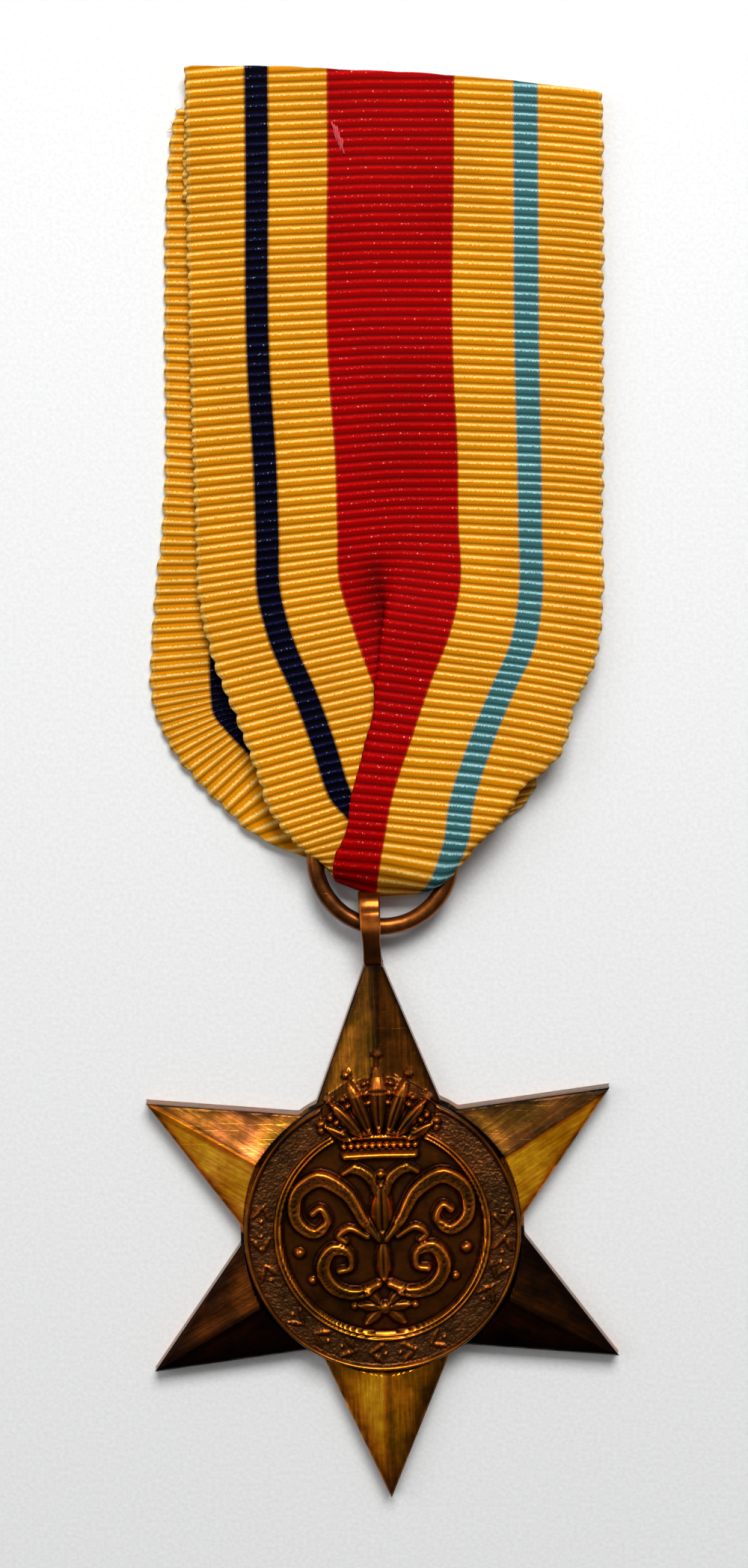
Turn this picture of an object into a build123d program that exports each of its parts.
from build123d import *
import os
from math import asin, cos, radians, sin, tan

# A service medal lying on its back: +Z is up to the viewer, +Y runs to the ribbon's top,
# +X is to the right.  Millimetres.  The origin is under the middle of the whole medal.

# ---- star ----
STAR_R = 22.1            # centre to the tip of a ray
STAR_Y = -37.35          # the star's centre
STAR_LEAN = 2.0          # the star hangs a little to one side, degrees
RAY_HALF_ANGLE = 25.0    # at the tip
EDGE_T = 1.7             # thickness at the outline
RIDGE_T = 2.75           # thickness at the inner end of a ridge
STUB = (1.7, 21.95, 19.5)  # blunt end of the top ray under the loop: width, outer and inner reach
CIRCLET_R = 11.9
CIRCLET_T = 2.45
RAY_FOOT_R = 11.45       # the rays end in a groove beside the circlet
RIM_W = 0.38
RIM_T = 2.8
INNER_RIM_R = 9.15
FIELD_T = 1.95           # the sunk field inside the circlet
FIELD_DOME = 0.25

# ---- relief: an open coronet, mirrored scrolls and a laurel ----
CORONET_Y = (6.1, 7.5)   # foot and top of the band, from the star's centre
CORONET_HALF_W = (3.1, 3.5)
CORONET_T = 3.3
POINT_TIPS = ((-4.3, 11.6), (-2.3, 12.9), (0.0, 14.1), (2.3, 12.9), (4.3, 11.6))
PEARL_R = 0.55
POINT_DROP = 0.3         # the points stand this much lower than the band
PEARL_SINK = 0.5         # a pearl's centre under the band's top face
SCROLL_HALF_W = 0.36
SCROLL_T = 2.75
BOSS_R = 0.85
SCROLLS = ((1.7, 1.9, 1.8), (4.6, 0.6, 1.5), (2.0, -2.7, 1.5))
LEAF_R = 10.3            # radius of the laurel's stem
LEAF_L, LEAF_W, LEAF_T = 1.9, 0.85, 0.28
LEAVES = 15              # on each side
LEAF_STEP = 8.0          # degrees
LEAF_FIRST = 8.0         # from the bottom, degrees
LEAF_LEAN = 22           # the leaves lean in and out by turns, degrees

# ---- suspension ring and loop ----
RING_X, RING_Y, RING_Z = 0.04, -6.57, 1.8
RING_R = 5.65            # centre line of the wire
WIRE_R = 0.7
RING_GAP = 1.0           # butt joint, degrees
LOOP_TOP = -9.32
LOOP_LEAN = 3.5          # the loop leans a little more than the star, degrees
LOOP_HALF_Z = 1.7
LOOP_T = 0.6             # thickness of the strip
LOOP_W = (1.8, 1.6)      # width at the top and at the braze
LOOP_SINK = 0.05         # the loop starts this far above the star's blunted top
BRAZE = (1.75, 1.5, 2.3)  # block of braze round the joint: across, along, thick
BRAZE_SHIFT = (0.1, -0.55)  # its middle from the joint: along, down
BRAZE_ROUND = 0.5

# ---- ribbon ----
PLY = 0.5
TOP_FOLD = 59.09         # highest point of the fold, at its left end
FOLD_SLANT = 3.4         # the fold drops to the right, degrees
HEM = 12.0
FRONT_Z = 1.0            # underside of the front ply
CREASE_Y = 21.0          # from here the front ply climbs over the ring
CREASE_LAP = (3.0, 2.0)  # the flat and the climbing parts share this much, above and below
BEND_Y, BEND_Z = 1.6, 1.65
BEND_HALF_ANGLE = 40.0
BEND_GAP = 0.12
FRONT_BEND_Z = 2.65      # underside of the front ply at the bend
BACK_STACK = 1.0         # pleated back ply under the ring
FRONT_STACK = (2.5, 4.0)
STACK_Y = -1.0           # the front stack is level below here
STACK_END = -10.0
BACK_STACK_Y = (-12.5, -0.5)  # reach of the pleated part of the back ply
FOLD_Y = (-9.77, -6.57)  # reach of the fold inside the ring
FOLD_TOP = 2.7
RING_CLEAR = 0.16
FRONT_LEFT = ((-16.35, 59.2), (-15.95, 38.0), (-15.5, 20.0), (-14.4, 11.2), (-12.7, 6.2), (-10.9, 1.6))
FRONT_RIGHT = ((14.1, 1.6), (15.5, 5.2), (16.8, 8.2), (17.8, 11.4), (18.3, 15.5), (18.3, 56.9))
BACK_LEFT = ((-17.25, 55.8), (-18.35, 50.0), (-18.45, 20.0), (-19.05, 15.5), (-19.3, 9.4), (-18.3, 3.7),
             (-17.0, 1.6))
BACK_RIGHT = ((14.3, 1.6), (15.6, 6.5), (16.0, 12.0), (16.1, 50.0), (16.4, 53.8))
GATHER_FRONT = ((-10.9, 1.6), (-9.3, -2.6), (-8.1, -5.2), (-4.8, -7.3), (-2.3, -8.55), (-0.3, -9.0),
                (4.0, -9.0), (5.5, -8.35), (6.3, -7.3), (9.4, -3.7), (13.1, -0.3), (14.1, 1.6))
GATHER_BACK = ((-17.0, 1.6), (-13.2, -2.6), (-10.1, -5.0), (-4.8, -7.3), (-2.3, -8.55), (-0.3, -9.0),
               (4.0, -9.0), (5.5, -8.35), (6.3, -7.3), (9.8, -3.9), (13.6, -0.6), (14.3, 1.6))

# ---- tack thread ----
TACK = ((-3.87, 53.7), (-3.68, 52.85))
THREAD_R = 0.14
TACK_HOLE_R = 0.16
TACK_PROUD = 0.12        # the stitches stand above the front ply

REACH = 60.0             # longer than anything here, for cutters
OVER = 6.0               # higher than anything here
ARC_STEPS = 6            # flats round the top fold


def circle_prism(radius, height):
    """A disc standing on the table."""
    return Pos(0, 0, height / 2) * Cylinder(radius, height)


def hoop(outer, inner, height):
    """A flat ring standing on the table."""
    return circle_prism(outer, height) - circle_prism(inner, height)


def notch_point(side):
    """Where the edge of a ray meets the circlet, for a ray along +Y."""
    total = asin(STAR_R * sin(radians(RAY_HALF_ANGLE)) / CIRCLET_R)
    turn = total - radians(RAY_HALF_ANGLE)
    return side * CIRCLET_R * sin(turn), CIRCLET_R * cos(turn)


def facet_cutter(side):
    """Everything above one facet of a ray along +Y."""
    tip = Vector(0, STAR_R, EDGE_T)
    ridge = Vector(0, RAY_FOOT_R, RIDGE_T)
    x, y = notch_point(side)
    edge = Vector(x, y, EDGE_T)
    normal = (ridge - tip).cross(edge - tip)
    if normal.Z < 0:
        normal = -normal
    plane = Plane(origin=tip, x_dir=ridge - tip, z_dir=normal)
    return plane * Pos(0, 0, OVER) * Box(2 * REACH, 2 * REACH, 2 * OVER)


def ray():
    """One two-faceted ray along +Y, from the circlet's groove to its tip."""
    left, right = notch_point(-1), notch_point(1)
    outline = make_face(Polyline((0, STAR_R), right, (0, 0), left, close=True))
    body = extrude(outline, 2 * RIDGE_T)
    return body - facet_cutter(1) - facet_cutter(-1) - circle_prism(RAY_FOOT_R, 3 * RIDGE_T)


def circlet():
    """The flat band with its two rims, and the sunk, slightly domed field inside it."""
    band = circle_prism(RAY_FOOT_R, CIRCLET_T)
    edge = hoop(CIRCLET_R, RAY_FOOT_R - RIM_W, EDGE_T)
    outer_rim = hoop(RAY_FOOT_R, RAY_FOOT_R - RIM_W, RIM_T)
    inner_rim = hoop(INNER_RIM_R, INNER_RIM_R - RIM_W, RIM_T)
    sink = Pos(0, 0, FIELD_T) * circle_prism(INNER_RIM_R - RIM_W, CIRCLET_T)
    radius = ((INNER_RIM_R - RIM_W) ** 2 + FIELD_DOME ** 2) / (2 * FIELD_DOME)
    dome = Pos(0, 0, FIELD_T + FIELD_DOME - radius) * Sphere(radius)
    dome &= Pos(0, 0, FIELD_T) * circle_prism(INNER_RIM_R - RIM_W, 2 * FIELD_DOME)
    return band + edge + outer_rim + inner_rim - sink + dome


def coronet():
    """A generic open coronet: a band and five points, each with a pearl."""
    foot, top = CORONET_Y
    low, high = CORONET_HALF_W
    band = make_face(Polyline((-low, foot), (low, foot), (high, top), (-high, top), close=True))
    shape = extrude(band, CORONET_T)
    pitch = 2 * high / len(POINT_TIPS)
    for index, (x, y) in enumerate(POINT_TIPS):
        left = -high + index * pitch
        root = top - POINT_DROP
        point = make_face(Polyline((left, root), (left + pitch, root), (x, y), close=True))
        shape += extrude(point, CORONET_T - POINT_DROP)
        shape += Pos(x, y, CORONET_T - PEARL_SINK) * Sphere(PEARL_R)
        shape += Pos(x, y, 0) * circle_prism(PEARL_R, CORONET_T - PEARL_SINK)
    return shape


def scrolls():
    """Mirrored rings of scrollwork round a centre boss."""
    shape = circle_prism(BOSS_R, SCROLL_T)
    for x, y, radius in SCROLLS:
        for side in (-1, 1):
            shape += Pos(side * x, y, 0) * hoop(radius + SCROLL_HALF_W, radius - SCROLL_HALF_W, SCROLL_T)
    return shape


def leaf(turn, lean):
    """One laurel leaf on the band; turn is its place round the circlet, in degrees from the bottom."""
    half, bulge = LEAF_L / 2, LEAF_W / 2
    upper = ThreePointArc((-half, 0), (0, bulge), (half, 0))
    lower = ThreePointArc((half, 0), (0, -bulge), (-half, 0))
    blade = extrude(make_face(upper + lower), LEAF_T)
    return Rot(0, 0, turn - 90) * Pos(LEAF_R, 0, CIRCLET_T) * Rot(0, 0, 90 + lean) * blade


def laurel():
    """Two sprays of leaves that climb the band from the bottom."""
    shape = leaf(0, 0)
    for index in range(LEAVES):
        turn = LEAF_FIRST + index * LEAF_STEP
        lean = LEAF_LEAN if index % 2 else -LEAF_LEAN
        shape += leaf(turn, lean)
        shape += leaf(-turn, -lean)
    return shape


def star():
    """The struck star, leaning, with its back on the table."""
    shape = circlet()
    for index in range(6):
        shape += Rot(0, 0, 60 * index) * ray()
    width, outer, inner = STUB
    shape += Pos(0, (outer + inner) / 2, EDGE_T / 2) * Box(width, outer - inner, EDGE_T)
    shape -= Pos(0, outer + OVER / 2, 0) * Box(OVER, OVER, 2 * OVER)
    shape += coronet()
    shape += scrolls()
    shape += laurel()
    return Pos(0, STAR_Y, 0) * Rot(0, 0, STAR_LEAN) * shape


def blunt_top():
    """The middle of the star's blunted top, on the table."""
    reach = STUB[1]
    return -reach * sin(radians(STAR_LEAN)), STAR_Y + reach * cos(radians(STAR_LEAN))


def loop_place():
    """The loop's own frame: y up its length from the blunted top of the star."""
    x, y = blunt_top()
    return Pos(x, y, RING_Z) * Rot(0, 0, LOOP_LEAN)


def loop_length():
    """From the star's blunted top to the top of the loop."""
    return (LOOP_TOP - blunt_top()[1]) / cos(radians(LOOP_LEAN))


def slot_outline(half_z, low, high):
    """A round-ended slot in the loop's side view, as a face across X."""
    return Plane.YZ * Pos((low + high) / 2, 0) * SlotOverall(high - low, 2 * half_z)


def suspension_loop():
    """A flat strip bent to a closed eyelet; a little narrower at the braze."""
    high = loop_length()
    outer = extrude(slot_outline(LOOP_HALF_Z, LOOP_SINK, high), LOOP_W[0], both=True)
    inner = extrude(slot_outline(LOOP_HALF_Z - LOOP_T, LOOP_SINK + LOOP_T, high - LOOP_T), REACH, both=True)
    top, low = LOOP_W[0] / 2, LOOP_W[1] / 2
    plan = make_face(Polyline((-low, 0), (low, 0), (top, high), (-top, high), close=True))
    strip = (outer - inner) & extrude(plan, OVER, both=True)
    return loop_place() * strip


def loop_braze(star_solid, loop_solid):
    """The braze that fills the corner between the star's blunted top and the loop."""
    along, down = BRAZE_SHIFT
    block = Pos(0, along, down) * Box(*BRAZE)
    block = fillet(block.edges().filter_by(Axis.X), BRAZE_ROUND)
    return loop_place() * block - star_solid - loop_solid


def suspension_ring():
    """A round wire bent to a ring, with a narrow butt joint at its top."""
    section = Plane.XZ * Pos(RING_R, 0) * Circle(WIRE_R)
    wire = revolve(section, Axis.Z, 360 - RING_GAP)
    return Pos(RING_X, RING_Y, RING_Z) * Rot(0, 0, 90 + RING_GAP / 2) * wire


def ring_channel():
    """Room for the ring, which turns in the fold of the ribbon."""
    half = WIRE_R + RING_CLEAR
    return Pos(RING_X, RING_Y, RING_Z - half) * hoop(RING_R + half, RING_R - half, 2 * half)


def plan_prism(points, low, high):
    """A flat-sided solid over an outline in the table's plane."""
    return Pos(0, 0, low) * extrude(make_face(Polyline(*points, close=True)), high - low)


def span(reach):
    """Everything between two places along the medal."""
    low, high = reach
    return Pos(0, (low + high) / 2, 0) * Box(2 * REACH, high - low, 4 * OVER)


def bend_room():
    """The V-shaped room on both sides of the bend, where the ribbon folds up or down."""
    spread = REACH * tan(radians(BEND_HALF_ANGLE))
    above = make_face(Polyline((-BEND_GAP, 0), (BEND_GAP, 0), (spread, REACH), (-spread, REACH), close=True))
    below = make_face(Polyline((-BEND_GAP, 0), (BEND_GAP, 0), (spread, -REACH), (-spread, -REACH), close=True))
    place = Pos(0, BEND_Y, BEND_Z)
    cut = extrude(Plane.YZ * above, REACH, both=True) + extrude(Plane.YZ * below, REACH, both=True)
    return place * cut


def slanted(points):
    """Side-view points (y, z) swept across the ribbon along the slant of the top fold."""
    face = Plane.YZ * make_face(Polyline(*points, close=True))
    across = Vector(REACH / 2, -REACH / 2 * tan(radians(FOLD_SLANT)), 0)
    return Pos(-across.X, -across.Y, 0) * extrude(face, amount=(2 * across).length, dir=2 * across)


def top_fold_middle():
    """Centre of the top fold's roundness, where it crosses the middle of the ribbon."""
    return TOP_FOLD + FRONT_LEFT[0][0] * tan(radians(FOLD_SLANT)) - PLY


def top_fold(middle):
    """The rounded outer side of the top fold, from the front ply to the hem behind it."""
    turns = [radians(180 * k / ARC_STEPS) for k in range(ARC_STEPS + 1)]
    return [(middle + PLY * sin(turn), FRONT_Z + PLY * cos(turn)) for turn in turns]


def ribbon_front():
    """The front ply, its top fold and the hem behind it, as one bent strip."""
    middle = top_fold_middle()
    hook = slanted([(CREASE_Y, FRONT_Z), (CREASE_Y, FRONT_Z + PLY), *top_fold(middle),
                    (middle - HEM, FRONT_Z - PLY), (middle - HEM, FRONT_Z)])
    above, below = CREASE_Y + CREASE_LAP[0], CREASE_Y - CREASE_LAP[1]
    climb = [(above, FRONT_Z), (above, FRONT_Z + PLY), (below, FRONT_Z + PLY),
             (BEND_Y, FRONT_BEND_Z + PLY), (BEND_Y, FRONT_BEND_Z), (below, FRONT_Z)]
    lower = extrude(Plane.YZ * make_face(Polyline(*climb, close=True)), REACH, both=True)
    left, right = FRONT_LEFT[0][0], FRONT_RIGHT[-1][0]
    outline = plan_prism(FRONT_LEFT[1:] + FRONT_RIGHT[:-1] + ((right, REACH), (left, REACH)), 0, OVER)
    return (hook + lower) & outline - bend_room() - tack_holes()


def ribbon_back():
    """The back ply, flat on the table, a little to the left of the front one."""
    return plan_prism(BACK_LEFT + BACK_RIGHT, 0, PLY) - bend_room()


def ribbon_gather():
    """The pleated lower end of the strip, folded through the ring."""
    low, high = FRONT_STACK
    climb = [(BEND_Y, FRONT_BEND_Z), (BEND_Y, FRONT_BEND_Z + PLY), (STACK_Y, high), (STACK_END, high),
             (STACK_END, low), (STACK_Y, low)]
    front = extrude(Plane.YZ * make_face(Polyline(*climb, close=True)), REACH, both=True)
    front &= plan_prism(GATHER_FRONT, 0, OVER)
    back = plan_prism(GATHER_BACK, 0, PLY)
    back += plan_prism(GATHER_BACK, 0, BACK_STACK) & span(BACK_STACK_Y)
    hole = Pos(RING_X, RING_Y, 0) * circle_prism(RING_R - WIRE_R - RING_CLEAR, OVER)
    fold = plan_prism(GATHER_FRONT, BACK_STACK / 2, FOLD_TOP) & hole & span(FOLD_Y)
    return front + back + fold - ring_channel() - bend_room()


def tack_holes():
    """Needle holes through the hem and the front ply, with a groove for the thread in the hem's back."""
    holes = [Pos(x, y, FRONT_Z) * Cylinder(TACK_HOLE_R, 4 * PLY) for x, y in TACK]
    (x0, y0), (x1, y1) = TACK
    size = (abs(x1 - x0) + 3 * TACK_HOLE_R, abs(y1 - y0) + 3 * TACK_HOLE_R, 2 * TACK_HOLE_R)
    groove = Pos((x0 + x1) / 2, (y0 + y1) / 2, PLY + THREAD_R) * Box(*size)
    return holes[0] + holes[1] + groove


def tack_thread():
    """Thread that holds the top fold: two short bars through the plies, joined behind the hem."""
    low, high = PLY + THREAD_R, FRONT_Z + PLY + TACK_PROUD
    bars = [Pos(x, y, (low + high) / 2) * Cylinder(THREAD_R, high - low) for x, y in TACK]
    (x0, y0), (x1, y1) = TACK
    link = sweep(Plane(origin=(x0, y0, low), z_dir=(x1 - x0, y1 - y0, 0)) * Circle(THREAD_R),
                 path=Line((x0, y0, low), (x1, y1, low)))
    knobs = [Pos(x, y, z) * Sphere(THREAD_R) for x, y in TACK for z in (low, high)]
    return bars[0] + bars[1] + link + knobs


def write(name, shape):
    export_step(shape, f"parts/{name}.step")
    print(name, "written")


os.makedirs("parts", exist_ok=True)
star_solid = star()
loop_solid = suspension_loop()
write("star", star_solid)
write("suspension_loop", loop_solid)
write("loop_braze", loop_braze(star_solid, loop_solid))
write("suspension_ring", suspension_ring())
write("ribbon_front", ribbon_front())
write("ribbon_back", ribbon_back())
write("ribbon_gather", ribbon_gather())
write("tack_thread", tack_thread())
